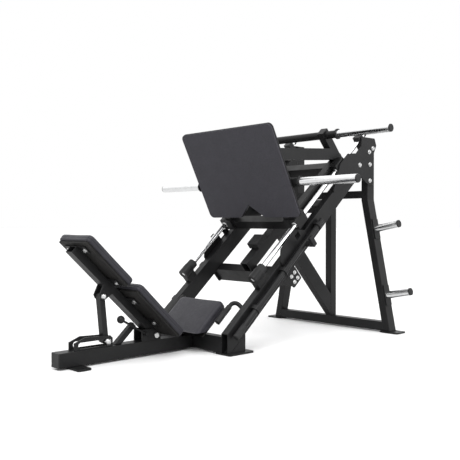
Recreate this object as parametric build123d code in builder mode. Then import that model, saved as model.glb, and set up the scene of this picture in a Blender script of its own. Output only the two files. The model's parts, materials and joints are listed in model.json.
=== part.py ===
from build123d import *
from math import atan2, cos, degrees, radians, sin, sqrt, tan
import os

os.makedirs("parts", exist_ok=True)

# Plate-loaded leg press. X runs from the seat end to the tall rear frame, Y across,
# Z up. The origin is on the floor under the middle of the machine.

# ---- Driving dimensions (mm, degrees) ----
half_length = 1128.0        # seat-end cap and rear feet are this far from the origin
slope = 41.0                # angle of the rails and guide rods above the floor
datum_x = 222.0             # point on the rails' top faces where the slope axis s = 0
datum_z = 545.5
side_y = 310.0              # rails, guide rods and upper posts share this centre plane
wall = 3.0                  # wall of every square and rectangular tube
plate = 8.0                 # thickness of brackets and lugs
floor_plate = 10.0          # thickness of the foot plates
fit = 0.05                  # radial clearance of a shaft in its bore
free_gap = 0.5              # running gap beside a moving piece

rail_depth = 100.0
rail_width = 50.0
rail_front_x = -268.0
foot_wedge_x = -130.0

beam_size = 75.0            # square section of the floor beam under the seat
cap_depth = 7.0
front_tube_size = 50.0
front_tube_height = 90.0

post_front_x = 1037.0
post_depth = 75.0
post_width = 50.0
post_floor_y = 487.0
post_knee_z = 885.0
post_top_z = 1290.0
base_bar_size = 60.0
mid_bar_size = 50.0
mid_bar_z = 923.0

rod_r = 15.0
rod_h = 67.0                # rod axis above the rails' top faces
rod_start_s = -296.0
rod_end_s = 1112.0
holder_start_s = -300.0
holder_length = 70.0
holder_height = 100.0
bumper_length = 45.0
bumper_r = 30.0
upper_block_s = 1030.0
upper_block_length = 46.0
dome_r = 20.0

carriage_s = 183.0          # lower end of the carriage at rest
carriage_top_s = 855.0
side_tube_width = 50.0
side_tube_h = 27.0
side_tube_depth = 80.0
bearing_length = 100.0
bearing_half = 24.0
bush_r = 20.0
cross_size = 60.0
arm_depth = 60.0
upper_bar_s = 822.0
upper_bar_h = 278.0
bar_r = 25.0
sleeve_wall = 4.0
collar_r = 33.0
collar_length = 10.0
upper_collar_y = 366.0
upper_sleeve_end = 761.0
lower_collar_y = 432.0
lower_sleeve_end = 841.0
end_plug = 8.0
plug_r = 24.0

foot_plate_width = 794.0
foot_plate_length = 596.0
foot_plate_angle = 63.4     # rise of the foot plate above the floor
foot_plate_x = 270.0        # lower front edge of the foot plate
foot_plate_z = 762.0
foot_plate_steel = 8.0
foot_mat = 12.0
foot_corner_r = 32.0
notch_width = 210.0
notch_depth = 88.0
channel_depth = 70.0
lower_bar_x = 222.0
lower_bar_z = 972.0
support_height = 72.0
support_rise = 3.8
support_z = 1144.0

spine_width = 60.0
spine_depth = 70.0
spine_end_s = 470.0
cross_low_s = -75.0
cross_low_depth = 100.0
brace_depth = 100.0
brace_foot_z = 150.0
brace_top_s = 329.0

lever_r = 17.0              # rotating safety bars beside the rails
lever_gap = 10.0
lever_h = -40.0
lever_start_s = -548.0
lever_end_s = 352.0
lever_bearing_gap = 0.15
hook_s = 120.0
hook_width = 30.0
hook_reach = 82.0           # swing of the hook about its bar, short of the guide rod
hook_finger = 55.0
hook_thickness = 20.0
hook_half = 11.0
hook_corner = 5.0
grip_length = 88.0
grip_r = 19.0

recline = 43.5              # slope of the backrest below the horizontal
back_x = -1050.0            # top end of the backrest beam's underside
back_z = 584.0
back_beam_depth = 40.0
back_beam_width = 60.0
back_beam_length = 690.0
pad_bar_thickness = 8.0
board_thickness = 12.0
pad_thickness = 45.0
upper_pad_start = -29.0
upper_pad_end = 325.0
upper_pad_width = 290.0
lower_pad_start = 345.0
lower_pad_width = 370.0
pivot_a = 703.0
pivot_n = 15.0
pivot_r = 9.0
strut_size = 40.0
strut_a = 294.6
strut_n = -42.8
strut_length = 238.0
strut_lean = 5.8
slot_length = 160.0         # travel of the strut's foot pin along its bracket
slot_half = 12.0
slot_slack = 4.0            # extra slot height above and below the pin's arc
slot_end = 8.0
strut_side = 15.0           # half width of the strut in side view

seat_angle = 41.4
seat_x = -378.0
seat_z = 106.0
seat_surface = 279.0
seat_pad_thickness = 54.0
seat_board_thickness = 10.0
seat_width = 370.0

peg_length = 172.0
peg_heights = (246.0, 688.0)
flange_height = 138.0
flange_width = 60.0

# ---- Frames of reference ----
run = cos(radians(slope))
rise = sin(radians(slope))
rail_inner = side_y - rail_width / 2
rail_outer = side_y + rail_width / 2
sides = (("left", 1), ("right", -1))


def slope_point(s, h):
    """X and Z of a point s along the rails and h above their top faces."""
    return datum_x + s * run - h * rise, datum_z + s * rise + h * run


def slope_side(y=0.0):
    """Side view of the rails at y: local x runs up the slope, local y away from it."""
    return Plane(origin=(datum_x, y, datum_z), x_dir=(run, 0, rise), z_dir=(0, -1, 0))


def slope_end(s, y=0.0, h=0.0):
    """Section square to the rails at s: local x is Y, local y away from the rails."""
    x, z = slope_point(s, h)
    return Plane(origin=(x, y, z), x_dir=(0, 1, 0), z_dir=(run, 0, rise))


def side_view(y=0.0):
    """Upright side view at y: local x is X and local y is Z."""
    return Plane(origin=(0, y, 0), x_dir=(1, 0, 0), z_dir=(0, -1, 0))


def front_view(x=0.0):
    """Upright cross view at x: local x is Y and local y is Z."""
    return Plane(origin=(x, 0, 0), x_dir=(0, 1, 0), z_dir=(1, 0, 0))


back_run = cos(radians(recline))
back_rise = sin(radians(recline))


def back_side(y=0.0):
    """Side view of the backrest at y: local x runs down it, local y out to the pads."""
    return Plane(origin=(back_x, y, back_z), x_dir=(back_run, 0, -back_rise), z_dir=(0, -1, 0))


def back_point(a, n):
    """X and Z of a point a down the backrest and n above its beam's underside."""
    return back_x + a * back_run + n * back_rise, back_z - a * back_rise + n * back_run


seat_run = cos(radians(seat_angle))
seat_rise = sin(radians(seat_angle))


def seat_side(y=0.0):
    """Side view of the seat at y: local x runs up its surface, local y out of it."""
    return Plane(origin=(seat_x, y, seat_z), x_dir=(seat_run, 0, seat_rise), z_dir=(0, -1, 0))


plate_run = cos(radians(foot_plate_angle))
plate_rise = sin(radians(foot_plate_angle))


def plate_side(y=0.0):
    """Side view of the foot plate at y: local x runs up it, local y out to the feet."""
    return Plane(origin=(foot_plate_x, y, foot_plate_z), x_dir=(-plate_run, 0, plate_rise),
                 z_dir=(0, -1, 0))


def plate_face(depth):
    """The foot plate's face view, at a depth behind its front face."""
    x = foot_plate_x + depth * plate_rise
    z = foot_plate_z + depth * plate_run
    return Plane(origin=(x, 0, z), x_dir=(0, 1, 0), z_dir=(plate_rise, 0, plate_run))


# ---- Shared builders ----
def save(built, name):
    """Label a finished piece and write its STEP file."""
    built.part.label = name
    export_step(built.part, "parts/" + name + ".step")


def group(*pieces):
    """Several finished pieces as the solids of one node; those that touch are welded."""
    with BuildPart() as gathered:
        for piece in pieces:
            add(piece.part)
    return gathered


def both_sides(built):
    """A left-hand piece with its right-hand mirror image."""
    with BuildPart() as pair:
        add(built.part)
        mirror(about=Plane.XZ)
    return pair


def save_pair(built, name):
    """Save a left-hand piece and its mirror image as one node."""
    save(both_sides(built), name)


def boxed_tube(view, start, end, depth, width, trims=()):
    """Rectangular tube from start to end in a view, cut back by (plane, kept side) trims."""
    length = sqrt((end[0] - start[0]) ** 2 + (end[1] - start[1]) ** 2)
    middle = ((start[0] + end[0]) / 2, (start[1] + end[1]) / 2)
    turn = degrees(atan2(end[1] - start[1], end[0] - start[0]))
    with BuildPart() as tube:
        with BuildSketch(view):
            with Locations(Location((middle[0], middle[1], 0), (0, 0, turn))):
                Rectangle(length, depth)
        extrude(amount=width / 2, both=True)
        with BuildSketch(view):
            with Locations(Location((middle[0], middle[1], 0), (0, 0, turn))):
                Rectangle(length, depth - 2 * wall)
        extrude(amount=width / 2 - wall, both=True, mode=Mode.SUBTRACT)
        for cut, kept in trims:
            split(bisect_by=cut, keep=kept)
    return tube


def cross_tube(view, centre, size, half_span):
    """Rectangular tube along Y, centred on the machine, with its section in a side view."""
    with BuildPart() as tube:
        with BuildSketch(view):
            with Locations(centre):
                Rectangle(*size)
                Rectangle(size[0] - 2 * wall, size[1] - 2 * wall, mode=Mode.SUBTRACT)
        extrude(amount=half_span, both=True)
    return tube


def slab(view, outline, width):
    """Closed outline in a side view, thickened evenly to both sides of it."""
    with BuildPart() as solid:
        with BuildSketch(view):
            with BuildLine():
                Polyline(*outline, close=True)
            make_face()
        extrude(amount=width / 2, both=True)
    return solid


def bolt_heads(views, radius=9.0, height=7.0):
    """Hexagon heads on washers, one on each view's origin."""
    washer = 2.0
    with BuildPart() as bolts:
        for view in views:
            with BuildSketch(view):
                Circle(radius * 1.35)
            extrude(amount=washer)
            with BuildSketch(view.offset(washer)):
                RegularPolygon(radius, 6)
            extrude(amount=height)
    return bolts


def faced(view, point, y, outward):
    """A view plane on a side face at y, looking outward along Y from a local point."""
    origin = view.from_local_coords(Vector(point[0], point[1], 0))
    return Plane(origin=(origin.X, y, origin.Z), x_dir=(1, 0, 0), z_dir=(0, outward, 0))


upright = side_view()
sloped = slope_side()
reclined = back_side()

# ---- Floor beam under the seat ----
beam_centre_z = floor_plate + beam_size / 2
beam_top_z = floor_plate + beam_size
beam_end_x = -half_length + cap_depth
seat_beam = boxed_tube(upright, (beam_end_x, beam_centre_z), (rail_front_x, beam_centre_z),
                       beam_size, beam_size)
save(seat_beam, "seat_beam")

with BuildPart() as beam_cap:
    with BuildSketch(front_view(-half_length)):
        with Locations((0, beam_centre_z)):
            RectangleRounded(beam_size, beam_size, 5)
    extrude(amount=cap_depth)
    fillet(beam_cap.faces().sort_by(Axis.X)[0].edges(), 3)

beam_foot_x = -1030.0
beam_foot_length = 78.0
beam_foot_width = 250.0
beam_hole_y = 100.0
floor_hole_r = 6.5
with BuildPart() as beam_foot:
    with BuildSketch(Plane.XY):
        with Locations((beam_foot_x, 0)):
            RectangleRounded(beam_foot_length, beam_foot_width, 14)
            with Locations((0, beam_hole_y), (0, -beam_hole_y)):
                Circle(floor_hole_r, mode=Mode.SUBTRACT)
    extrude(amount=floor_plate)

# ---- Front cross tube, rails and their feet ----
front_tube_x = rail_front_x + front_tube_size / 2
front_tube = cross_tube(upright, (front_tube_x, floor_plate + front_tube_height / 2),
                        (front_tube_size, front_tube_height), rail_inner)
save(front_tube, "front_cross_tube")

rail_blank = (-800.0, 1250.0)       # uncut length of a rail along the slope
floor_cut = Plane.XY.offset(floor_plate)
rail_front_cut = Plane(origin=(rail_front_x, 0, 0), z_dir=(1, 0, 0))
post_front_cut = Plane(origin=(post_front_x, 0, 0), z_dir=(1, 0, 0))
for side, sign in sides:
    rail = boxed_tube(slope_side(sign * side_y), (rail_blank[0], -rail_depth / 2),
                      (rail_blank[1], -rail_depth / 2), rail_depth, rail_width,
                      ((floor_cut, Keep.TOP), (rail_front_cut, Keep.TOP), (post_front_cut, Keep.BOTTOM)))
    save(rail, "rail_" + side)

under_rail = datum_z - rail_depth / run
wedge_foot_x = datum_x + (floor_plate - under_rail) / tan(radians(slope))
wedge_top_z = under_rail + (foot_wedge_x - datum_x) * tan(radians(slope))
wedge = slab(side_view(side_y), ((wedge_foot_x, floor_plate), (foot_wedge_x, floor_plate),
                                 (foot_wedge_x, wedge_top_z)), rail_width)

front_foot_length = 190.0
front_foot_width = 125.0
front_foot_y = 295.0
front_foot_x = rail_front_x - 2 + front_foot_length / 2
front_hole_x = 22.0
front_hole_y = 46.0
with BuildPart() as front_foot:
    with BuildSketch(Plane.XY):
        with Locations((front_foot_x, front_foot_y)):
            RectangleRounded(front_foot_length, front_foot_width, 14)
            with Locations((front_foot_length / 2 - front_hole_x, -front_hole_y)):
                Circle(floor_hole_r, mode=Mode.SUBTRACT)
    extrude(amount=floor_plate)

# ---- Rear frame ----
lean = (post_floor_y - side_y) / (post_knee_z - floor_plate)
lean_angle = degrees(atan2(lean, 1))


def band(points, half):
    """Mitred outline of even half width along an open three-point line."""
    (x0, z0), (x1, z1), (x2, z2) = points
    low = atan2(z1 - z0, x1 - x0)
    high = atan2(z2 - z1, x2 - x1)
    middle = (low + high) / 2
    reach = half / cos((high - low) / 2)
    left = [(x0 - half * sin(low), z0 + half * cos(low)),
            (x1 - reach * sin(middle), z1 + reach * cos(middle)),
            (x2 - half * sin(high), z2 + half * cos(high))]
    right = [(x0 + half * sin(low), z0 - half * cos(low)),
             (x1 + reach * sin(middle), z1 - reach * cos(middle)),
             (x2 + half * sin(high), z2 - half * cos(high))]
    return left + right[::-1]


post_mid_x = post_front_x + post_depth / 2
overrun = 120.0
top_cut = Plane.XY.offset(post_top_z)
post_line = ((post_floor_y + lean * overrun, floor_plate - overrun),
             (side_y, post_knee_z), (side_y, post_top_z + overrun))
with BuildPart() as post:
    with BuildSketch(front_view(post_mid_x)):
        with BuildLine():
            Polyline(*band(post_line, post_width / 2), close=True)
        make_face()
    extrude(amount=post_depth / 2, both=True)
    with BuildSketch(front_view(post_mid_x)):
        with BuildLine():
            Polyline(*band(post_line, post_width / 2 - wall), close=True)
        make_face()
    extrude(amount=post_depth / 2 - wall, both=True, mode=Mode.SUBTRACT)
    split(bisect_by=floor_cut, keep=Keep.TOP)
    split(bisect_by=top_cut, keep=Keep.BOTTOM)
save_pair(post, "rear_posts")

post_cap_height = 6.0
with BuildPart() as post_caps:
    with BuildSketch(Plane.XY.offset(post_top_z)):
        with Locations((post_mid_x, side_y), (post_mid_x, -side_y)):
            RectangleRounded(post_depth, post_width, 4)
    extrude(amount=post_cap_height)

rear_foot_length = 108.0
rear_foot_width = 140.0
rear_foot_y = 510.0
rear_hole_y = 50.0
with BuildPart() as rear_foot:
    with BuildSketch(Plane.XY):
        with Locations((half_length - rear_foot_length / 2, rear_foot_y)):
            RectangleRounded(rear_foot_length, rear_foot_width, 16)
        with Locations((post_mid_x, rear_foot_y + rear_hole_y)):
            Circle(floor_hole_r, mode=Mode.SUBTRACT)
    extrude(amount=floor_plate)
save(group(beam_foot, both_sides(front_foot), both_sides(wedge), both_sides(rear_foot)),
     "floor_feet")

base_bar_z = floor_plate + base_bar_size / 2
inner_lean = post_width / 2 / cos(radians(lean_angle))
low_y = post_floor_y - inner_lean
high_y = low_y - lean * base_bar_size
with BuildPart() as base_bar:
    with BuildSketch(front_view(post_front_x + base_bar_size / 2)):
        with BuildLine():
            Polyline((-low_y, floor_plate), (low_y, floor_plate), (high_y, floor_plate + base_bar_size),
                     (-high_y, floor_plate + base_bar_size), close=True)
        make_face()
    extrude(amount=base_bar_size / 2, both=True)
    with BuildSketch(front_view(post_front_x + base_bar_size / 2)):
        with Locations((0, base_bar_z)):
            Rectangle(2 * post_floor_y, base_bar_size - 2 * wall)
    extrude(amount=base_bar_size / 2 - wall, both=True, mode=Mode.SUBTRACT)

mid_bar = cross_tube(upright, (post_front_x + mid_bar_size / 2, mid_bar_z),
                     (mid_bar_size, mid_bar_size), side_y - post_width / 2)
save(group(base_bar, mid_bar), "rear_cross_bars")

centre_post_depth = 60.0
centre_post_width = 50.0
centre_post = boxed_tube(upright, (post_front_x + centre_post_depth / 2, floor_plate + base_bar_size),
                         (post_front_x + centre_post_depth / 2, mid_bar_z - mid_bar_size / 2),
                         centre_post_depth, centre_post_width)
save(centre_post, "rear_centre_post")

# ---- Spine between the rails, its cross tubes and the brace ----
cross_low_h = -rail_depth - cross_low_depth / 2
cross_low = cross_tube(sloped, (cross_low_s + cross_size / 2, cross_low_h), (cross_size, cross_low_depth),
                       rail_outer - plate)

cross_plate_overlap = 30.0
with BuildPart() as cross_plates:
    for sign in (1, -1):
        with BuildSketch(slope_side(sign * (rail_outer - plate / 2))):
            with Locations((cross_low_s + cross_size / 2, cross_low_h)):
                RectangleRounded(cross_size + cross_plate_overlap, cross_low_depth, 10)
        extrude(amount=plate / 2, both=True)

spine_h = -rail_depth + spine_depth / 2
spine = boxed_tube(sloped, (cross_low_s, spine_h), (spine_end_s, spine_h), spine_depth, spine_width)
save(spine, "spine_tube")

tie_length = 60.0
upper_tie = cross_tube(sloped, (spine_end_s + tie_length / 2, -rail_depth / 2), (tie_length, tie_length),
                       rail_inner)
save(group(cross_low, cross_plates, upper_tie), "rail_cross_tubes")

brace_top = slope_point(brace_top_s, -rail_depth)
brace_cut = Plane(origin=(brace_top[0], 0, brace_top[1]), z_dir=(-rise, 0, run))
stretch = 0.15
brace_low = (post_front_x, brace_foot_z)
brace_start = (brace_top[0] + stretch * (brace_top[0] - brace_low[0]),
               brace_top[1] + stretch * (brace_top[1] - brace_low[1]))
brace_stop = (brace_low[0] + stretch * (brace_low[0] - brace_top[0]),
              brace_low[1] + stretch * (brace_low[1] - brace_top[1]))
brace = boxed_tube(upright, brace_start, brace_stop, brace_depth, centre_post_width,
                   ((brace_cut, Keep.BOTTOM), (post_front_cut, Keep.BOTTOM)))
save(brace, "centre_brace")

stop_s = 108.0
stop_length = 96.0
stop_height = 44.0
stop_side = 12.0            # how far the centre stop stands out beside the spine
with BuildPart() as centre_stop:
    with BuildSketch(slope_side()):
        with Locations((stop_s, -rail_depth + spine_depth + stop_height / 2)):
            RectangleRounded(stop_length, stop_height, 6)
    extrude(amount=spine_width / 2 + stop_side, both=True)

# ---- Guide rods with their holders, bumpers and caps ----
with BuildPart() as rod:
    with BuildSketch(slope_end(rod_start_s, side_y, rod_h)):
        Circle(rod_r)
    extrude(amount=rod_end_s - rod_start_s)
    chamfer(rod.edges().filter_by(GeomType.CIRCLE), 1.5)
save_pair(rod, "guide_rods")

holder_inset = 3.0
with BuildPart() as holder:
    with BuildSketch(slope_end(holder_start_s, side_y)):
        with Locations((0, rod_h / 2)):
            Rectangle(rail_width - 2 * holder_inset, rod_h)
        with Locations((0, rod_h)):
            Circle(holder_height - rod_h)
        with Locations((0, rod_h)):
            Circle(rod_r + fit, mode=Mode.SUBTRACT)
    extrude(amount=holder_length)
save_pair(holder, "rod_holders")

with BuildPart() as bumper:
    with BuildSketch(slope_end(holder_start_s + holder_length, side_y, rod_h)):
        Circle(bumper_r)
        Circle(rod_r + fit, mode=Mode.SUBTRACT)
    extrude(amount=bumper_length)
    fillet(bumper.edges().filter_by(GeomType.CIRCLE).sort_by(Axis.X)[-2:].sort_by(SortBy.RADIUS)[-1], 6)
save_pair(bumper, "rod_bumpers")

with BuildPart() as upper_block:
    with BuildSketch(slope_end(upper_block_s, side_y)):
        with Locations((0, holder_height / 2)):
            Rectangle(rail_width, holder_height)
        with Locations((0, rod_h)):
            Circle(rod_r + fit, mode=Mode.SUBTRACT)
    extrude(amount=upper_block_length)
save_pair(upper_block, "rod_top_blocks")

dome_height = 14.0
with BuildPart() as rod_caps:
    for sign in (1, -1):
        with BuildSketch(slope_end(rod_end_s, sign * side_y, rod_h)):
            Circle(dome_r)
        extrude(amount=dome_height)
    fillet(rod_caps.edges().filter_by(GeomType.CIRCLE).group_by(Axis.Z)[-1], 8)

# ---- Gusset plates joining rails, posts and rod blocks ----
gusset_outline = ((652, 919), (727, 1110), (811, 1183), (902, 1190), (957, 1245), (957, 1305),
                  (1107, 1305), (1127, 1258), (1097, 1199), (1097, 985), (1037, 985), (944, 1040))
gusset_y = rail_outer + plate / 2
with BuildPart() as gusset:
    with BuildSketch(side_view(gusset_y)):
        with BuildLine():
            Polyline(*gusset_outline, close=True)
        make_face()
        fillet(vertices(), 8)
    extrude(amount=plate / 2, both=True)
save_pair(gusset, "gussets")

gusset_bolt_points = ((1085, 1236), (1044, 1209), (936, 1115), (1051, 1125), (1051, 1016))
gusset_bolt_r = 11.0
gusset_bolts = bolt_heads([faced(upright, point, sign * (rail_outer + plate), sign)
                           for sign in (1, -1) for point in gusset_bolt_points], gusset_bolt_r)

cross_bolt_s = 18.0
cross_bolt_h = 22.0
cross_mid_s = cross_low_s + cross_size / 2
cross_bolt_points = [(cross_mid_s + step_s * cross_bolt_s, cross_low_h + step_h * cross_bolt_h)
                     for step_h in (1, -1) for step_s in (-1, 1)]
cross_bolts = bolt_heads([faced(sloped, point, sign * rail_outer, sign)
                          for sign in (1, -1) for point in cross_bolt_points])
save(group(gusset_bolts, cross_bolts), "frame_bolts")

# ---- Catch plates on the rails' outer faces ----
catch_thickness = 6.0
catch_outline = ((-80, -30), (-80, 12), (-26, 65), (145, 65), (205, 8), (205, -30))
notch_clear = 6.0
notch_floor = 4.0
notch_cut = 100.0
with BuildPart() as catch_plate:
    with BuildSketch(slope_side(rail_outer + catch_thickness / 2)):
        with BuildLine():
            Polyline(*catch_outline, close=True)
        make_face()
        with Locations((hook_s + hook_width / 2, notch_floor + notch_cut / 2)):
            Rectangle(hook_width + 2 * notch_clear, notch_cut, mode=Mode.SUBTRACT)
    extrude(amount=catch_thickness / 2, both=True)
save_pair(catch_plate, "catch_plates")

# ---- Carriage: side tubes, bearings and cross tubes ----
side_tube_y = side_y - bearing_half - side_tube_width / 2
side_tube_mid = side_tube_h + side_tube_depth / 2
side_tube_top = side_tube_h + side_tube_depth
side_inner_y = side_tube_y - side_tube_width / 2
side_tube = boxed_tube(slope_side(side_tube_y), (carriage_s, side_tube_mid),
                       (carriage_top_s, side_tube_mid), side_tube_depth, side_tube_width)
save_pair(side_tube, "carriage_tubes")

end_cap = 3.0
with BuildPart() as tube_ends:
    for end_s in (carriage_s - end_cap, carriage_top_s):
        with BuildSketch(slope_end(end_s, side_tube_y)):
            with Locations((0, side_tube_mid)):
                RectangleRounded(side_tube_width - 2, side_tube_depth - 2, 5)
        extrude(amount=end_cap)

bearing_setback = 45.0
bearing_starts = (carriage_s, carriage_top_s - bearing_setback - bearing_length)
bearing_height = side_tube_depth
with BuildPart() as bearings:
    for start_s in bearing_starts:
        with BuildSketch(slope_end(start_s, side_y)):
            with Locations((0, rod_h)):
                RectangleRounded(2 * bearing_half, bearing_height, 6)
                Circle(bush_r, mode=Mode.SUBTRACT)
        extrude(amount=bearing_length)
save_pair(bearings, "bearing_blocks")

with BuildPart() as bushes:
    for start_s in bearing_starts:
        with BuildSketch(slope_end(start_s, side_y, rod_h)):
            Circle(bush_r)
            Circle(rod_r + fit, mode=Mode.SUBTRACT)
        extrude(amount=bearing_length)
save_pair(bushes, "linear_bushes")

cross_inset = 8.0
cross_tubes = [cross_tube(sloped, (start_s + cross_size / 2, side_tube_h + cross_size / 2),
                          (cross_size, cross_size), side_inner_y)
               for start_s in (carriage_s + cross_inset, carriage_top_s - cross_inset - 2 * cross_size)]
save(group(*cross_tubes), "carriage_cross_tubes")

# ---- Arms, upper bar and sleeves ----
arm_rim = 8.0               # steel left above the upper bar
arm_top_h = upper_bar_h + bar_r + arm_rim
with BuildPart() as arm:
    with BuildSketch(slope_side(side_tube_y)):
        with Locations((upper_bar_s, (side_tube_top + arm_top_h) / 2)):
            Rectangle(arm_depth, arm_top_h - side_tube_top)
        with Locations((upper_bar_s, upper_bar_h)):
            Circle(bar_r + fit, mode=Mode.SUBTRACT)
    extrude(amount=side_tube_width / 2, both=True)
save_pair(arm, "sleeve_arms")


def out_from(centre, y, sign=1):
    """Section across a sleeve at y, looking outward along Y from its centre line."""
    return Plane(origin=(centre[0], sign * y, centre[1]), x_dir=(1, 0, 0), z_dir=(0, sign, 0))


bars = ((slope_point(upper_bar_s, upper_bar_h), upper_collar_y, upper_sleeve_end),
        ((lower_bar_x, lower_bar_z), lower_collar_y, lower_sleeve_end))
sleeve_bars = []
sleeves = []
sleeve_plugs = []
for centre, collar_y, sleeve_end in bars:
    with BuildPart() as bar:
        with BuildSketch(out_from(centre, 0)):
            Circle(bar_r)
            Circle(bar_r - sleeve_wall, mode=Mode.SUBTRACT)
        extrude(amount=collar_y, both=True)
        for sign in (1, -1):
            with BuildSketch(out_from(centre, collar_y, sign)):
                Circle(collar_r)
            extrude(amount=collar_length)
    sleeve_bars.append(bar)
    with BuildPart() as sleeve:
        with BuildSketch(out_from(centre, collar_y + collar_length)):
            Circle(bar_r)
            Circle(bar_r - sleeve_wall, mode=Mode.SUBTRACT)
        extrude(amount=sleeve_end - collar_y - collar_length)
    sleeves.append(both_sides(sleeve))
    with BuildPart() as plug:
        with BuildSketch(out_from(centre, sleeve_end)):
            Circle(plug_r)
        extrude(amount=end_plug)
        fillet(plug.faces().sort_by(Axis.Y)[-1].edges(), 4)
    sleeve_plugs.append(both_sides(plug))
save(group(*sleeve_bars), "sleeve_bars")
save(group(*sleeves), "weight_sleeves")
save(group(both_sides(tube_ends), *sleeve_plugs), "carriage_caps")

# ---- Foot plate with its channels and supports ----
plate_back = foot_plate_steel + foot_mat


def notched_outline(inset):
    """Foot plate face with rounded corners and the heel notch in its lower edge."""
    half = foot_plate_width / 2 - inset
    bottom = inset
    top = foot_plate_length - inset
    notch = notch_width / 2 + inset
    peak = notch_depth + inset
    with BuildSketch(Plane.XY) as face:
        with BuildLine():
            Polyline((-half, bottom), (-notch, bottom), (0, peak), (notch, bottom), (half, bottom),
                     (half, top), (-half, top), close=True)
        make_face()
        fillet(face.vertices().group_by(Axis.Y)[-1], foot_corner_r)
        for end in (0, -1):
            fillet(face.vertices().group_by(Axis.Y)[0].sort_by(Axis.X)[end], foot_corner_r)
    return face.sketch


mat_inset = 2.0
with BuildPart() as foot_mat_part:
    with BuildSketch(plate_face(0)):
        add(notched_outline(mat_inset))
    extrude(amount=foot_mat)
save(foot_mat_part, "foot_mat")

with BuildPart() as foot_steel:
    with BuildSketch(plate_face(foot_mat)):
        add(notched_outline(0))
    extrude(amount=foot_plate_steel)
save(foot_steel, "foot_plate")

side_top_x, side_top_z = slope_point(0, side_tube_top)
side_top_cut = Plane(origin=(side_top_x, 0, side_top_z), z_dir=(-rise, 0, run))
channel_mid = -plate_back - channel_depth / 2
channel_top = foot_plate_length - 66
channel_tail = 160.0
channel_length = channel_top + channel_tail
channel_centre = (channel_top - channel_tail) / 2
with BuildPart() as channel:
    with BuildSketch(plate_side(side_tube_y)):
        with Locations((channel_centre, channel_mid)):
            Rectangle(channel_length, channel_depth)
    extrude(amount=side_tube_width / 2, both=True)
    with BuildSketch(plate_side(side_tube_y)):
        with Locations((channel_centre - wall, channel_mid)):
            Rectangle(channel_length, channel_depth - 2 * wall)
    extrude(amount=side_tube_width / 2 - wall, both=True, mode=Mode.SUBTRACT)
    with BuildSketch(side_view(side_tube_y)):
        with Locations((lower_bar_x, lower_bar_z)):
            Circle(bar_r + fit)
    extrude(amount=side_tube_width, both=True, mode=Mode.SUBTRACT)
    split(bisect_by=side_top_cut, keep=Keep.TOP)
save_pair(channel, "foot_plate_channels")

channel_back = plate_side().from_local_coords(Vector(0, -plate_back - channel_depth, 0))
channel_cut = Plane(origin=(channel_back.X, 0, channel_back.Z), z_dir=(plate_rise, 0, plate_run))
arm_face = slope_point(upper_bar_s - arm_depth / 2, 0)
arm_cut = Plane(origin=(arm_face[0], 0, arm_face[1]), z_dir=(run, 0, rise))
support_run = tan(radians(support_rise))
support_ends = [(x, support_z + (x - lower_bar_x) * support_run) for x in (0.0, 850.0)]
support = boxed_tube(side_view(side_tube_y), *support_ends, support_height, side_tube_width,
                     ((channel_cut, Keep.TOP), (arm_cut, Keep.BOTTOM), (side_top_cut, Keep.TOP)))
save_pair(support, "plate_supports")

# ---- Safety bars with hooks, grips and bearings ----
lever_y = rail_outer + lever_gap + lever_r
for side, sign in sides:
    with BuildPart() as lever:
        with BuildSketch(slope_end(lever_start_s, sign * lever_y, lever_h)):
            Circle(lever_r)
        extrude(amount=lever_end_s - lever_start_s)
        with BuildSketch(slope_end(hook_s, sign * lever_y, lever_h)):
            with BuildLine():
                Polyline((0, -hook_half), (sign * hook_reach, -hook_half), (sign * hook_reach, hook_finger),
                         (sign * (hook_reach - hook_thickness), hook_finger),
                         (sign * (hook_reach - hook_thickness), hook_half), (0, hook_half), close=True)
            make_face()
            fillet(vertices().group_by(Axis.Y)[-1], hook_corner)
        extrude(amount=hook_width)
    save(lever, "safety_bar_" + side)

    with BuildPart() as lever_handle:
        with BuildSketch(slope_end(lever_start_s - grip_length, sign * lever_y, lever_h)):
            Circle(grip_r)
        extrude(amount=grip_length)
        fillet(lever_handle.edges().filter_by(GeomType.CIRCLE), 3)
    save(lever_handle, "safety_grip_" + side)

lever_bearing_s = (-430.0, -120.0, 290.0)
lever_bearing_wall = 7.0
lever_bearing_length = 26.0
with BuildPart() as lever_bearings:
    for bearing_s in lever_bearing_s:
        with BuildSketch(slope_end(bearing_s, lever_y, lever_h)):
            Circle(lever_r + lever_bearing_wall)
            with Locations((-(lever_r + lever_gap) / 2, 0)):
                Rectangle(lever_r + lever_gap, 2 * (lever_r + lever_bearing_wall))
            Circle(lever_r + lever_bearing_gap, mode=Mode.SUBTRACT)
        extrude(amount=lever_bearing_length)
save_pair(lever_bearings, "safety_bar_bearings")

# ---- Hand grips beside the seat ----
handle_r = 12.5
handle_grip_r = 16.0
handle_top_h = 20.0
handle_y = 222.0
handle_base = (-440.0, -42.0)
handle_bend_s = -418.0
handle_end_s = -596.0
handle_grip_length = 124.0
base_x, base_z = slope_point(*handle_base)
knee_x, knee_z = slope_point(handle_bend_s, handle_top_h)
end_x, end_z = slope_point(handle_end_s, handle_top_h)
with BuildPart() as handle:
    with BuildLine() as handle_path:
        FilletPolyline((base_x, rail_inner, base_z), (knee_x, handle_y, knee_z),
                       (end_x, handle_y, end_z), radius=32)
    with BuildSketch(Plane(origin=handle_path.line @ 0, z_dir=handle_path.line % 0)):
        Circle(handle_r)
    sweep()
    split(bisect_by=Plane(origin=(0, rail_inner, 0), z_dir=(0, 1, 0)), keep=Keep.BOTTOM)
save_pair(handle, "hand_rails")

with BuildPart() as handle_grip:
    with BuildSketch(slope_end(handle_end_s, handle_y, handle_top_h)):
        Circle(handle_grip_r)
        Circle(handle_r + fit, mode=Mode.SUBTRACT)
    extrude(amount=handle_grip_length)
save_pair(handle_grip, "hand_grips")

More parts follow.
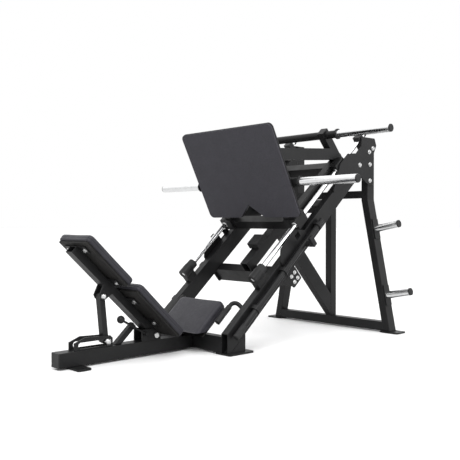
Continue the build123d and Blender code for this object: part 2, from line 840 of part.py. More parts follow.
# ---- Backrest ----
pad_bottom = back_beam_depth + pad_bar_thickness
back_beam = boxed_tube(reclined, (0, back_beam_depth / 2), (back_beam_length, back_beam_depth / 2),
                       back_beam_depth, back_beam_width)

hub_r = 18.0
hub_neck = (24.0, 26.0)
with BuildPart() as back_hub:
    with BuildSketch(reclined):
        with Locations((pivot_a, pivot_n)):
            Circle(hub_r)
            with Locations((-hub_neck[0] * 2 / 3, 4)):
                Rectangle(*hub_neck)
        with Locations((0, back_beam_depth / 2)):
            Rectangle(2 * back_beam_length, back_beam_depth, mode=Mode.SUBTRACT)
        with Locations((pivot_a, pivot_n)):
            Circle(pivot_r + fit, mode=Mode.SUBTRACT)
    extrude(amount=back_beam_width / 2, both=True)

pad_bar_places = (29.0, 285.0, 438.0, 620.0)
pad_bar_length = 190.0
pad_bar_width = 50.0
with BuildPart() as pad_bars:
    for place in pad_bar_places:
        with BuildSketch(reclined):
            with Locations((place, back_beam_depth + pad_bar_thickness / 2)):
                Rectangle(pad_bar_width, pad_bar_thickness)
        extrude(amount=pad_bar_length / 2, both=True)
save(pad_bars, "backrest_pad_bars")

bolt_y = 78.0
pad_bolt_views = []
for place in pad_bar_places:
    for sign in (1, -1):
        bolt_x, bolt_z = back_point(place, back_beam_depth)
        pad_bolt_views.append(Plane(origin=(bolt_x, sign * bolt_y, bolt_z), x_dir=(0, 1, 0),
                                    z_dir=(-back_rise, 0, -back_run)))
save(bolt_heads(pad_bolt_views, 10), "backrest_bolts")

v_floor = 90.0              # lowest edge of the cushions, just above the floor beam
board_n = pad_bottom + board_thickness / 2
cushion_n = pad_bottom + board_thickness + pad_thickness / 2
board_inset = 12.0
lower_face_end = 749.0
with BuildPart() as upper_board:
    with BuildSketch(reclined):
        with Locations(((upper_pad_start + upper_pad_end) / 2, board_n)):
            Rectangle(upper_pad_end - upper_pad_start - 2 * board_inset, board_thickness)
    extrude(amount=upper_pad_width / 2 - board_inset, both=True)

with BuildPart() as upper_pad:
    with BuildSketch(reclined):
        with Locations(((upper_pad_start + upper_pad_end) / 2, cushion_n)):
            RectangleRounded(upper_pad_end - upper_pad_start, pad_thickness, 10)
    extrude(amount=upper_pad_width / 2, both=True)
save(upper_pad, "upper_back_pad")

v_cut = Plane.XY.offset(v_floor)
with BuildPart() as lower_board:
    with BuildSketch(reclined):
        with Locations(((lower_pad_start + lower_face_end) / 2, board_n)):
            Rectangle(lower_face_end - lower_pad_start - 2 * board_inset, board_thickness)
    extrude(amount=lower_pad_width / 2 - board_inset, both=True)
    split(bisect_by=v_cut, keep=Keep.TOP)
save(group(upper_board, lower_board), "pad_boards")

with BuildPart() as lower_pad:
    with BuildSketch(reclined):
        with Locations(((lower_pad_start + lower_face_end) / 2, cushion_n)):
            RectangleRounded(lower_face_end - lower_pad_start, pad_thickness, 10)
    extrude(amount=lower_pad_width / 2, both=True)
    split(bisect_by=v_cut, keep=Keep.TOP)
save(lower_pad, "lower_back_pad")

# ---- Backrest pivot, strut and its slotted bracket ----
pivot_x, pivot_z = back_point(pivot_a, pivot_n)
lug_gap = 2.0
lug_inner = back_beam_width / 2 + lug_gap
with BuildPart() as pivot_lugs:
    for sign in (1, -1):
        with BuildSketch(side_view(sign * (lug_inner + plate / 2))):
            with BuildLine():
                Polyline((-500, beam_top_z), (-500, 112), (-530, 140), (-560, 150), (-625, 150),
                         (-625, beam_top_z), close=True)
            make_face()
            with Locations((pivot_x, pivot_z)):
                Circle(pivot_r + fit, mode=Mode.SUBTRACT)
        extrude(amount=plate / 2, both=True)
    split(bisect_by=Plane.XY.offset(beam_top_z), keep=Keep.TOP)

pin_head = 6.0
pin_head_length = 8.0
with BuildPart() as pivot_pin:
    with BuildSketch(faced(upright, (pivot_x, pivot_z), 0, 1)):
        Circle(pivot_r)
    extrude(amount=lug_inner + plate, both=True)
    for sign in (1, -1):
        with BuildSketch(faced(upright, (pivot_x, pivot_z), sign * (lug_inner + plate), sign)):
            Circle(pivot_r + pin_head)
        extrude(amount=pin_head_length)
    round_edges = pivot_pin.edges().filter_by(GeomType.CIRCLE)
    chamfer(round_edges.filter_by(lambda edge: edge.radius > pivot_r + 1), 1.5)
save(pivot_pin, "backrest_pivot_pin")

ear_inner = strut_size / 2 + lug_gap
with BuildPart() as strut_ears:
    for sign in (1, -1):
        with BuildSketch(back_side(sign * (ear_inner + plate / 2))):
            with BuildLine():
                Polyline((strut_a - 38, 0), (strut_a + 34, 0), (strut_a + 20, strut_n - 12),
                         (strut_a, strut_n - 20), (strut_a - 20, strut_n - 12), close=True)
            make_face()
            with Locations((strut_a, strut_n)):
                Circle(pivot_r + fit, mode=Mode.SUBTRACT)
        extrude(amount=plate / 2, both=True)
save(group(back_beam, back_hub, strut_ears), "backrest_beam")

top_x, top_z = back_point(strut_a, strut_n)
foot_x = top_x + strut_length * sin(radians(strut_lean))
foot_z = top_z - strut_length * cos(radians(strut_lean))
knob_r = 15.0
knob_length = 16.0
knob_round = 11.0
retainer_lip = 4.0
retainer_length = 6.0


def knobbed_pin(x, z, inner_y):
    """Cross pin with a plain retaining head on one side and a domed knob on the other."""
    with BuildPart() as pin:
        with BuildSketch(faced(upright, (x, z), inner_y, -1)):
            Circle(pivot_r)
        extrude(amount=2 * inner_y)
        with BuildSketch(faced(upright, (x, z), inner_y, 1)):
            Circle(pivot_r + retainer_lip)
        extrude(amount=retainer_length)
        with BuildSketch(faced(upright, (x, z), -inner_y, -1)):
            Circle(knob_r)
        extrude(amount=knob_length)
        fillet(pin.faces().filter_by(Axis.Y).sort_by(Axis.Y)[0].edges(), knob_round)
    return pin


ear_outer = ear_inner + plate
save(knobbed_pin(top_x, top_z, ear_outer + free_gap), "strut_top_pin")
save(knobbed_pin(foot_x, foot_z, ear_outer + free_gap), "strut_foot_pin")

strut_middle = ((top_x + foot_x) / 2, (top_z + foot_z) / 2)
with BuildPart() as strut:
    with BuildSketch(upright):
        with Locations(Location((*strut_middle, 0), (0, 0, 90 + strut_lean))):
            SlotCenterToCenter(strut_length, 2 * strut_side)
        with Locations((top_x, top_z), (foot_x, foot_z)):
            Circle(pivot_r + fit, mode=Mode.SUBTRACT)
    extrude(amount=strut_size / 2, both=True)
save(strut, "backrest_strut")

slot_drop = 5.0             # the pin's arc dips below its place at rest
slot_z = foot_z - slot_drop
with BuildPart() as strut_bracket:
    for sign in (1, -1):
        with BuildSketch(side_view(sign * (ear_inner + plate / 2))):
            with BuildLine():
                Polyline((foot_x + 34, beam_top_z), (foot_x + 34, 128), (foot_x + 20, 142),
                         (foot_x - slot_length + 30, 148), (foot_x - slot_length - 34, 124),
                         (foot_x - slot_length - 34, beam_top_z), close=True)
            make_face()
            with Locations((foot_x - slot_length / 2 + slot_end, slot_z)):
                SlotOverall(slot_length + 2 * slot_end + 2 * slot_half, 2 * (slot_half + slot_slack),
                            mode=Mode.SUBTRACT)
        extrude(amount=plate / 2, both=True)
save(strut_bracket, "strut_bracket")

# ---- Recline stop and its release lever ----
stop_root = (-795.0, 58.0)
stop_head = (-664.0, 176.0)
stop_size = 30.0
stop_pad_thickness = 8.0
recline_stop = boxed_tube(upright, stop_root, stop_head, stop_size, stop_size,
                          ((Plane.XY.offset(beam_top_z), Keep.TOP),))
save(recline_stop, "recline_stop")

stop_turn = degrees(atan2(stop_head[1] - stop_root[1], stop_head[0] - stop_root[0]))
with BuildPart() as stop_pad:
    with BuildSketch(upright):
        with Locations(Location((*stop_head, 0), (0, 0, stop_turn))):
            with Locations((stop_pad_thickness / 2, 0)):
                Rectangle(stop_pad_thickness, stop_size)
    extrude(amount=stop_size / 2, both=True)
save(group(centre_stop, stop_pad), "rubber_stops")

release_x = -606.0
release_z = 128.0
release_pin_r = 5.0
release_head_r = 9.0
release_head_length = 4.0
release_hub_r = 11.0
release_rod_r = 6.0
ball_x = -769.0
ball_z = 221.0
ball_r = 21.0
hub_length = 14.0
lug_outer = -(lug_inner + plate)
rod_mid_y = lug_outer - free_gap - hub_length / 2
ball_reach = sqrt((ball_x - release_x) ** 2 + (ball_z - release_z) ** 2)
rod_reach = ball_reach - ball_r / 2
rod_view = Plane(origin=(release_x, rod_mid_y, release_z),
                 z_dir=(ball_x - release_x, 0, ball_z - release_z))


def release_view(y):
    """Side view on the release lever's pivot, looking out from a lug's face at y."""
    return faced(upright, (release_x, release_z), y, -1)


with BuildPart() as release_lever:
    with BuildSketch(release_view(lug_outer - free_gap)):
        Circle(release_hub_r)
    extrude(amount=hub_length)
    with BuildSketch(rod_view):
        Circle(release_rod_r)
    extrude(amount=rod_reach)
    with BuildSketch(release_view(lug_outer - free_gap)):
        Circle(release_pin_r + fit)
    extrude(amount=hub_length, mode=Mode.SUBTRACT)
save(release_lever, "release_lever")

rod_axis_x = (ball_x - release_x) / ball_reach
rod_axis_z = (ball_z - release_z) / ball_reach
ball_view = Plane(origin=(ball_x, rod_mid_y, ball_z), x_dir=(rod_axis_x, 0, rod_axis_z), z_dir=(0, -1, 0))
with BuildPart() as release_ball:
    with BuildSketch(ball_view):
        with BuildLine():
            mouth = -sqrt(ball_r ** 2 - release_rod_r ** 2)
            ThreePointArc((mouth, release_rod_r), (0, ball_r), (ball_r, 0))
            Polyline((ball_r, 0), (-ball_r / 2, 0), (-ball_r / 2, release_rod_r), (mouth, release_rod_r))
        make_face()
    revolve(axis=Axis(ball_view.origin, ball_view.x_dir))
save(release_ball, "release_ball")

with BuildPart() as release_pivot:
    with BuildSketch(release_view(lug_outer)):
        Circle(release_pin_r)
    extrude(amount=hub_length + 2 * free_gap)
    with BuildSketch(release_view(lug_outer - hub_length - 2 * free_gap)):
        Circle(release_head_r)
    extrude(amount=release_head_length)
save(group(pivot_lugs, release_pivot), "backrest_pivot_lugs")

# ---- Seat ----
pad_under = -seat_pad_thickness
seat_board_inset = 24.0
with BuildPart() as seat_pad:
    with BuildSketch(seat_side()):
        with Locations((seat_surface / 2, pad_under / 2)):
            RectangleRounded(seat_surface, seat_pad_thickness, 10)
    extrude(amount=seat_width / 2, both=True)
    split(bisect_by=v_cut, keep=Keep.TOP)
save(seat_pad, "seat_pad")

with BuildPart() as seat_board:
    with BuildSketch(seat_side()):
        with Locations((seat_surface / 2 + seat_board_inset / 2, pad_under - seat_board_thickness / 2)):
            Rectangle(seat_surface - 2 * seat_board_inset, seat_board_thickness)
    extrude(amount=seat_width / 2 - board_inset, both=True)
    split(bisect_by=v_cut, keep=Keep.TOP)
save(seat_board, "seat_board")

board_under = seat_side().from_local_coords(Vector(0, pad_under - seat_board_thickness, 0))
under_cut = Plane(origin=(board_under.X, 0, board_under.Z), z_dir=(-seat_rise, 0, seat_run))
front_tube_top = floor_plate + front_tube_height
seat_post_width = 80.0
seat_post_blank = 120.0
seat_post = boxed_tube(upright, (front_tube_x, front_tube_top),
                       (front_tube_x, front_tube_top + seat_post_blank), front_tube_size,
                       seat_post_width, ((under_cut, Keep.BOTTOM),))
save(seat_post, "seat_post")

# ---- Weight storage pegs on the rear posts ----
post_out = post_width / 2 / cos(radians(lean_angle))


def peg_view(height):
    """Outer face of the left rear post at a height, looking outward square to the post."""
    y = post_floor_y - lean * (height - floor_plate) + post_out
    lift = sin(radians(lean_angle))
    reach = cos(radians(lean_angle))
    return Plane(origin=(post_mid_x, y, height), x_dir=(1, 0, 0), z_dir=(0, reach, lift))


flange_thickness = 8.0
peg_r = 25.0
with BuildPart() as flanges:
    for height in peg_heights:
        with BuildSketch(peg_view(height)):
            RectangleRounded(flange_width, flange_height, 8)
        extrude(amount=flange_thickness)
save_pair(flanges, "peg_flanges")

with BuildPart() as pegs:
    for height in peg_heights:
        with BuildSketch(peg_view(height).offset(flange_thickness)):
            Circle(peg_r)
            Circle(peg_r - sleeve_wall, mode=Mode.SUBTRACT)
        extrude(amount=peg_length)
save_pair(pegs, "storage_pegs")

with BuildPart() as peg_plugs:
    for height in peg_heights:
        with BuildSketch(peg_view(height).offset(flange_thickness + peg_length)):
            Circle(plug_r)
        extrude(amount=end_plug)
save(group(beam_cap, post_caps, rod_caps, both_sides(peg_plugs)), "frame_caps")
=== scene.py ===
import json
from math import cos, pi, radians, sin

import bmesh
import bpy
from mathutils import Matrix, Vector


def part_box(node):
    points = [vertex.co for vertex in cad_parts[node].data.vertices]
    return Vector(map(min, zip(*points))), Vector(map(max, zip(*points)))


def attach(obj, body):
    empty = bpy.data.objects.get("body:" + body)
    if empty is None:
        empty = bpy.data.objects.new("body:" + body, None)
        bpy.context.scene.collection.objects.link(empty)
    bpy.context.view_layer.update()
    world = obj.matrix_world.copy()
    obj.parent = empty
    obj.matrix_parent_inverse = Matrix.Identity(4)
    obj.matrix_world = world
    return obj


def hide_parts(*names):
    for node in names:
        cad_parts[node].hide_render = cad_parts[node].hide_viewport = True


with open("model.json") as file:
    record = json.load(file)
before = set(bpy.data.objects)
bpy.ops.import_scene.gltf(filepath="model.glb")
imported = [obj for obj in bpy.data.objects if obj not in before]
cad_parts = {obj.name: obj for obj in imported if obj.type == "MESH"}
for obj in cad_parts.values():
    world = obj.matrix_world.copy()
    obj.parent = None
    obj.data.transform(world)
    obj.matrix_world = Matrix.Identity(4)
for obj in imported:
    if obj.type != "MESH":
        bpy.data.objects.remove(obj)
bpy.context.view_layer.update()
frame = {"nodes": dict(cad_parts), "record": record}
nodes = frame["nodes"]
record = frame["record"]

# ---- Directions of the pads ----
back_angle = radians(43.5)      # slope of the backrest below the horizontal
seat_angle = radians(41.4)      # slope of the seat above the horizontal
across = Vector((0, 1, 0))


# ---- Material helpers ----
def graph(name):
    """A new material with its node tree, shader and object coordinates."""
    material = bpy.data.materials.new(name)
    material.use_nodes = True
    tree = material.node_tree
    shader = tree.nodes["Principled BSDF"]
    place = tree.nodes.new("ShaderNodeTexCoord").outputs["Object"]
    return material, tree, shader, place


def stretched(tree, place, scale):
    """Object coordinates scaled by a different factor along each axis."""
    mapping = tree.nodes.new("ShaderNodeMapping")
    mapping.inputs["Scale"].default_value = scale
    tree.links.new(place, mapping.inputs["Vector"])
    return mapping.outputs["Vector"]


def noise(tree, place, scale, detail=3.0, roughness=0.55):
    """Fractal noise at so many cells a metre."""
    texture = tree.nodes.new("ShaderNodeTexNoise")
    texture.inputs["Scale"].default_value = scale
    texture.inputs["Detail"].default_value = detail
    texture.inputs["Roughness"].default_value = roughness
    tree.links.new(place, texture.inputs["Vector"])
    return texture.outputs["Fac"]


def cells(tree, place, scale):
    """Distance to the nearest cell centre, at so many cells a metre."""
    texture = tree.nodes.new("ShaderNodeTexVoronoi")
    texture.inputs["Scale"].default_value = scale
    tree.links.new(place, texture.inputs["Vector"])
    return texture.outputs["Distance"]


def ramp(tree, value, low, high, colours):
    """Colours or greys spread between two values of an input."""
    blend = tree.nodes.new("ShaderNodeValToRGB")
    blend.color_ramp.elements[0].position = low
    blend.color_ramp.elements[1].position = high
    for element, colour in zip(blend.color_ramp.elements, colours):
        element.color = (*colour, 1) if hasattr(colour, "__len__") else (colour, colour, colour, 1)
    tree.links.new(value, blend.inputs["Fac"])
    return blend.outputs["Color"]


def mixed(tree, factor, first, second):
    """Two colours mixed by a factor."""
    mix = tree.nodes.new("ShaderNodeMixRGB")
    tree.links.new(factor, mix.inputs["Fac"])
    for socket, colour in (("Color1", first), ("Color2", second)):
        if hasattr(colour, "__len__"):
            mix.inputs[socket].default_value = (*colour, 1)
        else:
            tree.links.new(colour, mix.inputs[socket])
    return mix.outputs["Color"]


def bumped(tree, shader, height, strength, distance, below=None):
    """Surface relief from a height, stacked on an earlier relief."""
    relief = tree.nodes.new("ShaderNodeBump")
    relief.inputs["Strength"].default_value = strength
    relief.inputs["Distance"].default_value = distance
    tree.links.new(height, relief.inputs["Height"])
    if below is not None:
        tree.links.new(below, relief.inputs["Normal"])
    tree.links.new(relief.outputs["Normal"], shader.inputs["Normal"])
    return relief.outputs["Normal"]


def rounded_edge(tree, radius):
    """Shading normal that rounds sharp edges, and a mask that is bright along them."""
    bevel = tree.nodes.new("ShaderNodeBevel")
    bevel.samples = 4
    bevel.inputs["Radius"].default_value = radius
    geometry = tree.nodes.new("ShaderNodeNewGeometry")
    dot = tree.nodes.new("ShaderNodeVectorMath")
    dot.operation = "DOT_PRODUCT"
    tree.links.new(bevel.outputs["Normal"], dot.inputs[0])
    tree.links.new(geometry.outputs["Normal"], dot.inputs[1])
    mask = ramp(tree, dot.outputs["Value"], 0.82, 0.985, (1.0, 0.0))
    return bevel.outputs["Normal"], mask


# ---- Materials ----
def powder_coat():
    """Satin black powder coat: fine orange peel, faint dust, and a painted highlight in lighter patches along
    the edges.
    """
    material, tree, shader, place = graph("satin_black_powder_coat")
    normal, edge = rounded_edge(tree, 0.0016)
    tone = ramp(tree, noise(tree, place, 7, 5), 0.3, 0.72,
                ((0.0062, 0.0062, 0.0066), (0.0105, 0.0105, 0.011)))
    # Painted highlight: a lighter grey laid along the sharp edges, broken into patches by noise.
    highlight_break_noise = noise(tree, place, 260, 4, 0.7)
    highlight_patches = ramp(tree, highlight_break_noise, 0.48, 0.68, (0.0, 0.55))
    painted_edge_highlight = tree.nodes.new("ShaderNodeMath")
    painted_edge_highlight.operation = "MULTIPLY"
    tree.links.new(edge, painted_edge_highlight.inputs[0])
    tree.links.new(highlight_patches, painted_edge_highlight.inputs[1])
    edge_highlight_grey = (0.075, 0.075, 0.078)
    tree.links.new(mixed(tree, painted_edge_highlight.outputs["Value"], tone, edge_highlight_grey), shader.inputs["Base Color"])
    tree.links.new(ramp(tree, noise(tree, place, 19, 6), 0.3, 0.75, (0.33, 0.47)), shader.inputs["Roughness"])
    shader.inputs["Specular IOR Level"].default_value = 0.24
    peel = bumped(tree, shader, noise(tree, place, 950, 2), 0.16, 0.0006, normal)
    bumped(tree, shader, noise(tree, place, 34, 2), 0.04, 0.004, peel)
    return material


def leatherette():
    """Black leatherette: pebbled grain with painted shade in its valleys, faint stretch creases and a soft
    sheen.
    """
    material, tree, shader, place = graph("black_leatherette")
    tone = ramp(tree, noise(tree, place, 12, 5), 0.3, 0.72,
                ((0.0175, 0.017, 0.0235), (0.0265, 0.0255, 0.034)))
    grain = cells(tree, place, 620)
    # Painted shade: the grain's valleys darkened towards a deeper black.
    painted_valley_shade = ramp(tree, grain, 0.1, 0.75, (0.0, 0.55))
    tree.links.new(mixed(tree, painted_valley_shade, tone, (0.011, 0.0107, 0.0135)), shader.inputs["Base Color"])
    tree.links.new(ramp(tree, noise(tree, place, 45, 5), 0.3, 0.75, (0.4, 0.56)), shader.inputs["Roughness"])
    shader.inputs["Specular IOR Level"].default_value = 0.3
    shader.inputs["Sheen Weight"].default_value = 0.06
    shader.inputs["Sheen Roughness"].default_value = 0.45
    pebble = bumped(tree, shader, grain, 0.32, 0.0007)
    crease = bumped(tree, shader, noise(tree, place, 130, 4), 0.12, 0.0012, pebble)
    bumped(tree, shader, noise(tree, place, 14, 3), 0.1, 0.006, crease)
    return material


def speckled_rubber():
    """Dark grey foot mat of pressed rubber crumb with lighter flecks."""
    material, tree, shader, place = graph("speckled_foot_mat")
    crumb = noise(tree, place, 300, 5, 0.75)
    tone = ramp(tree, crumb, 0.34, 0.66, ((0.017, 0.0165, 0.0215), (0.052, 0.050, 0.060)))
    patch = ramp(tree, noise(tree, place, 11, 4), 0.3, 0.75, (0.0, 0.42))
    tone = mixed(tree, patch, tone, (0.026, 0.0255, 0.030))
    flecks = ramp(tree, cells(tree, place, 210), 0.0, 0.23, (0.62, 0.0))
    tree.links.new(mixed(tree, flecks, tone, (0.11, 0.108, 0.12)), shader.inputs["Base Color"])
    tree.links.new(ramp(tree, crumb, 0.3, 0.7, (0.9, 0.68)), shader.inputs["Roughness"])
    shader.inputs["Specular IOR Level"].default_value = 0.35
    crumbs = bumped(tree, shader, crumb, 0.5, 0.0011)
    bumped(tree, shader, cells(tree, place, 420), 0.2, 0.0006, crumbs)
    return material


def chrome():
    """Hard chrome with faint grinding lines, which run around the sleeves."""
    material, tree, shader, place = graph("hard_chrome")
    lines = noise(tree, stretched(tree, place, (25, 500, 25)), 1.0, 2)
    tone = ramp(tree, noise(tree, place, 30, 4), 0.3, 0.7, ((0.82, 0.825, 0.83), (0.91, 0.915, 0.92)))
    tree.links.new(tone, shader.inputs["Base Color"])
    shader.inputs["Metallic"].default_value = 1.0
    tree.links.new(ramp(tree, lines, 0.35, 0.65, (0.13, 0.19)), shader.inputs["Roughness"])
    bumped(tree, shader, lines, 0.015, 0.0002)
    return material


def zinc():
    """Bright zinc-plated fasteners and pins with a mottled crystal finish."""
    material, tree, shader, place = graph("bright_zinc")
    mottle = cells(tree, place, 480)
    tone = ramp(tree, mottle, 0.05, 0.7, ((0.6, 0.61, 0.63), (0.8, 0.8, 0.79)))
    tree.links.new(tone, shader.inputs["Base Color"])
    shader.inputs["Metallic"].default_value = 1.0
    tree.links.new(ramp(tree, noise(tree, place, 160, 4), 0.3, 0.7, (0.22, 0.38)), shader.inputs["Roughness"])
    bumped(tree, shader, noise(tree, place, 900, 3), 0.1, 0.0003)
    return material


def moulded_rubber():
    """Matt black rubber for grips and bumpers, with a fine textured skin."""
    material, tree, shader, place = graph("matt_black_rubber")
    tone = ramp(tree, noise(tree, place, 25, 4), 0.3, 0.7, ((0.0085, 0.0085, 0.009), (0.016, 0.016, 0.0165)))
    tree.links.new(tone, shader.inputs["Base Color"])
    tree.links.new(ramp(tree, noise(tree, place, 70, 4), 0.3, 0.7, (0.58, 0.78)), shader.inputs["Roughness"])
    shader.inputs["Specular IOR Level"].default_value = 0.35
    bumped(tree, shader, cells(tree, place, 700), 0.3, 0.0006)
    return material


def moulded_plastic():
    """Black moulded plastic for end caps and the lever's ball, with a fine spark texture."""
    material, tree, shader, place = graph("black_moulded_plastic")
    tone = ramp(tree, noise(tree, place, 15, 3), 0.3, 0.7, ((0.009, 0.009, 0.0095), (0.014, 0.014, 0.015)))
    tree.links.new(tone, shader.inputs["Base Color"])
    tree.links.new(ramp(tree, noise(tree, place, 55, 4), 0.3, 0.7, (0.3, 0.42)), shader.inputs["Roughness"])
    shader.inputs["Specular IOR Level"].default_value = 0.25
    bumped(tree, shader, noise(tree, place, 1400, 2), 0.14, 0.0004)
    return material


def stained_board():
    """Black-stained plywood behind the pads, with its grain along the board."""
    material, tree, shader, place = graph("black_stained_plywood")
    grain = noise(tree, stretched(tree, place, (14, 190, 14)), 1.0, 6, 0.65)
    tone = ramp(tree, grain, 0.3, 0.7, ((0.006, 0.0058, 0.0056), (0.016, 0.0152, 0.0145)))
    tree.links.new(tone, shader.inputs["Base Color"])
    tree.links.new(ramp(tree, grain, 0.3, 0.7, (0.72, 0.55)), shader.inputs["Roughness"])
    shader.inputs["Specular IOR Level"].default_value = 0.22
    bumped(tree, shader, grain, 0.35, 0.0008)
    return material


finishes = {
    "black_frame": powder_coat(),
    "bright_chrome": chrome(),
    "zinc_steel": zinc(),
    "black_upholstery": leatherette(),
    "black_rubber": moulded_rubber(),
    "black_plastic": moulded_plastic(),
    "board": stained_board(),
}
foot_mat_finish = speckled_rubber()

for row in record["subparts"]:
    target = nodes[row["node"]]
    target.data.materials.clear()
    target.data.materials.append(finishes[row["material_slot"]])
nodes["foot_mat"].data.materials[0] = foot_mat_finish


# ---- Rounded edges on the square tubes and plates ----
def soften(name, width, steps=2):
    """Merge a CAD node's split vertices and round its sharp edges, with modifiers only."""
    target = nodes[name]
    weld = target.modifiers.new("weld", "WELD")
    weld.merge_threshold = 0.00002
    bevel = target.modifiers.new("rounded_edges", "BEVEL")
    bevel.width = width
    bevel.segments = steps
    bevel.limit_method = "ANGLE"
    bevel.angle_limit = radians(40)
    bevel.harden_normals = True


tube_nodes = ("seat_beam", "front_cross_tube", "rail_left", "rail_right", "rear_posts", "rear_cross_bars",
              "rear_centre_post", "spine_tube", "centre_brace", "carriage_tubes", "carriage_cross_tubes",
              "recline_stop", "seat_post")
for name in tube_nodes:
    soften(name, 0.0028, 3)
for name in ("gussets", "catch_plates", "foot_plate", "backrest_pad_bars"):
    soften(name, 0.0012)
soften("foot_mat", 0.002, 3)


# ---- Cushions ----
def spread(node, direction):
    """Lowest and highest place of a CAD node's corners along a direction."""
    places = [direction.dot(corner.co) for corner in nodes[node].data.vertices]
    return min(places), max(places)


def outline(half_long, half_wide, corner, pull):
    """Rounded rectangle with sides that pull in between the corners."""
    corner = min(corner, 0.95 * half_long, 0.95 * half_wide)
    corner_steps = 7
    side_steps = 12
    points = []
    for quarter, facing in enumerate(((1, 1), (-1, 1), (-1, -1), (1, -1))):
        centre = (facing[0] * (half_long - corner), facing[1] * (half_wide - corner))
        start = quarter * pi / 2
        for step in range(corner_steps):
            turn = start + step / corner_steps * pi / 2
            points.append((centre[0] + corner * cos(turn), centre[1] + corner * sin(turn)))
        on_end = quarter % 2 == 1
        run = 2 * ((half_wide if on_end else half_long) - corner)
        heading = start + pi / 2
        first = (centre[0] + corner * cos(heading), centre[1] + corner * sin(heading))
        for step in range(side_steps):
            share = step / side_steps
            sag = pull * sin(pi * share) ** 2
            points.append((first[0] - share * run * sin(heading) - sag * cos(heading),
                           first[1] + share * run * cos(heading) - sag * sin(heading)))
    return points


def cushion(name, node, body, along, out, corner, crown, floor_z):
    """A crowned, sewn pad in the space of its CAD solid, clear of the beam below it."""
    low_a, high_a = spread(node, along)
    low_n, high_n = spread(node, out)
    low_y, high_y = spread(node, across)
    half_long = (high_a - low_a) / 2
    half_wide = (high_y - low_y) / 2
    thick = high_n - low_n
    centre = along * (low_a + high_a) / 2 + across * (low_y + high_y) / 2 + out * low_n
    top = thick - crown
    seam = 0.34 * thick
    flat_margin = 0.030
    rim = 0.0175
    lip = 0.0016        # half width of the sewn groove
    swell = 0.006       # where the cover bulges out again beside the groove
    # Inset from the outline, height, and pull of the sides: base, seam, side wall, shoulder.
    profile = [(flat_margin, 0.0, 0.0), (0.010, 0.0, 0.0), (0.004, 0.0008, 0.0005), (0.0012, 0.004, 0.001),
               (0.0003, seam - swell, 0.0015), (0.0004, seam - lip, 0.0015), (0.0022, seam, 0.0015),
               (0.0004, seam + lip, 0.0015), (0.0, seam + swell, 0.0018), (0.0, 0.56 * thick, 0.002),
               (0.0012, 0.70 * thick, 0.002), (0.0045, 0.82 * thick, 0.002), (0.0100, top - 0.0022, 0.0015),
               (rim, top, 0.001)]
    crown_rings = 12
    for ring in range(1, crown_rings):
        share = ring / crown_rings
        reach = rim + share * (min(half_long, half_wide) - rim)
        lift = crown * (1 - (1 - share) ** 2.6)
        profile.append((reach, top + lift, 0.0))
    mesh = bmesh.new()
    rings = []
    for inset, height, pull in profile:
        if inset <= flat_margin:
            shape = outline(half_long - inset, half_wide - inset, corner - inset * 0.4, pull)
        else:
            shrink = 1 - (inset - rim) / (min(half_long, half_wide) - rim)
            shape = outline((half_long - rim) * shrink, (half_wide - rim) * shrink, corner * shrink, 0.0)
        ring_points = []
        for a, y in shape:
            point = centre + along * a + across * y + out * height
            point.z = max(point.z, floor_z)
            ring_points.append(mesh.verts.new(point))
        rings.append(ring_points)
    count = len(rings[0])
    for lower, upper in zip(rings, rings[1:]):
        for i in range(count):
            mesh.faces.new((lower[i], lower[(i + 1) % count], upper[(i + 1) % count], upper[i]))
    for ring_points, height in ((rings[0], 0.0), (rings[-1], thick)):
        hub = centre + out * height
        hub.z = max(hub.z, floor_z)
        middle = mesh.verts.new(hub)
        for i in range(count):
            mesh.faces.new((ring_points[i], ring_points[(i + 1) % count], middle))
    bmesh.ops.recalc_face_normals(mesh, faces=mesh.faces)
    data = bpy.data.meshes.new(name)
    mesh.to_mesh(data)
    mesh.free()
    for face in data.polygons:
        face.use_smooth = True
    piece = bpy.data.objects.new(name, data)
    bpy.context.scene.collection.objects.link(piece)
    data.materials.append(finishes["black_upholstery"])
    smooth = piece.modifiers.new("smooth", "SUBSURF")
    smooth.levels = 1
    smooth.render_levels = 2
    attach(piece, body)
    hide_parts(node)
    return piece


back_along = Vector((cos(back_angle), 0, -sin(back_angle)))
back_out = Vector((sin(back_angle), 0, cos(back_angle)))
seat_along = Vector((cos(seat_angle), 0, sin(seat_angle)))
seat_out = Vector((-sin(seat_angle), 0, cos(seat_angle)))
beam_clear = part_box("lower_back_pad")[0].z
cushion("upper_back_cushion", "upper_back_pad", "backrest", back_along, back_out, 0.024, 0.004, beam_clear)
cushion("lower_back_cushion", "lower_back_pad", "backrest", back_along, back_out, 0.024, 0.004, beam_clear)
cushion("seat_cushion", "seat_pad", "frame", seat_along, seat_out, 0.026, 0.005, beam_clear)


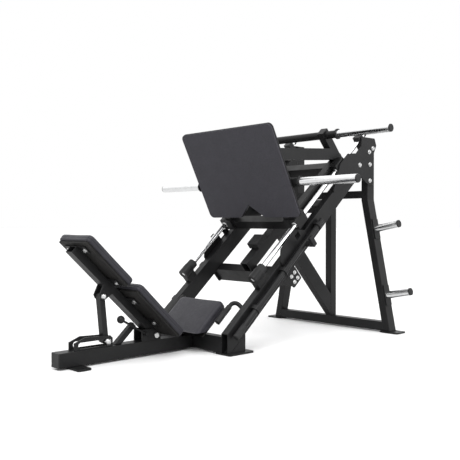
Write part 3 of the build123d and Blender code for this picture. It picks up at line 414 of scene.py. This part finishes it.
# ---- Floor, light and camera ----
def build_floor():
    """Wide pale floor that meets the white backdrop, and is duller in reflections."""
    mesh = bmesh.new()
    reach = 60.0
    signs = ((-1, -1), (1, -1), (1, 1), (-1, 1))
    mesh.faces.new([mesh.verts.new((reach * x, reach * y, 0)) for x, y in signs])
    data = bpy.data.meshes.new("floor")
    mesh.to_mesh(data)
    mesh.free()
    floor = bpy.data.objects.new("floor", data)
    bpy.context.scene.collection.objects.link(floor)
    material, tree, shader, place = graph("pale_floor")
    tone = ramp(tree, noise(tree, place, 1.3, 4), 0.3, 0.7, ((0.9, 0.9, 0.9), (0.93, 0.93, 0.93)))
    glossy = tree.nodes.new("ShaderNodeLightPath").outputs["Is Glossy Ray"]
    tree.links.new(mixed(tree, glossy, tone, (0.6, 0.6, 0.6)), shader.inputs["Base Color"])
    shader.inputs["Roughness"].default_value = 0.55
    shader.inputs["Specular IOR Level"].default_value = 0.2
    data.materials.append(material)


def build_light():
    """White backdrop, lit brightly from above and dimly from the sides, with two soft boxes."""
    world = bpy.data.worlds.new("studio")
    bpy.context.scene.world = world
    world.use_nodes = True
    tree = world.node_tree
    background = tree.nodes["Background"]
    background.inputs["Strength"].default_value = 1.0
    parts = tree.nodes.new("ShaderNodeSeparateXYZ")
    tree.links.new(tree.nodes.new("ShaderNodeTexCoord").outputs["Generated"], parts.inputs["Vector"])
    rise = tree.nodes.new("ShaderNodeMapRange")
    rise.inputs["To Min"].default_value = 0.8
    rise.inputs["To Max"].default_value = 1.5
    tree.links.new(parts.outputs["Z"], rise.inputs["Value"])
    seen = tree.nodes.new("ShaderNodeLightPath").outputs["Is Camera Ray"]
    tree.links.new(mixed(tree, seen, rise.outputs["Result"], (1.0, 1.0, 1.0)), background.inputs["Color"])
    for name, place, aim, size, power in (("key", (-2.6, -2.4, 4.6), (0, 0, 0.5), 3.0, 150),
                                          ("fill", (2.8, -4.6, 2.6), (0.2, 0, 0.6), 2.6, 60)):
        lamp = bpy.data.lights.new(name, "AREA")
        lamp.energy = power
        lamp.size = size
        holder = bpy.data.objects.new(name, lamp)
        holder.location = place
        holder.rotation_euler = (Vector(aim) - Vector(place)).to_track_quat("-Z", "Y").to_euler()
        bpy.context.scene.collection.objects.link(holder)


def build_camera():
    """Eye-level camera beyond the seat end, on the right-hand side."""
    lens = bpy.data.cameras.new("camera")
    lens.sensor_width = 36
    lens.lens = 53.16
    lens.clip_end = 200
    camera = bpy.data.objects.new("camera", lens)
    camera.location = (-2.8125, -3.0332, 0.736)
    camera.rotation_euler = (radians(89.312), 0, radians(-43.533))
    bpy.context.scene.collection.objects.link(camera)
    bpy.context.scene.camera = camera


build_floor()
build_light()
build_camera()
bpy.context.scene.view_settings.view_transform = "Standard"
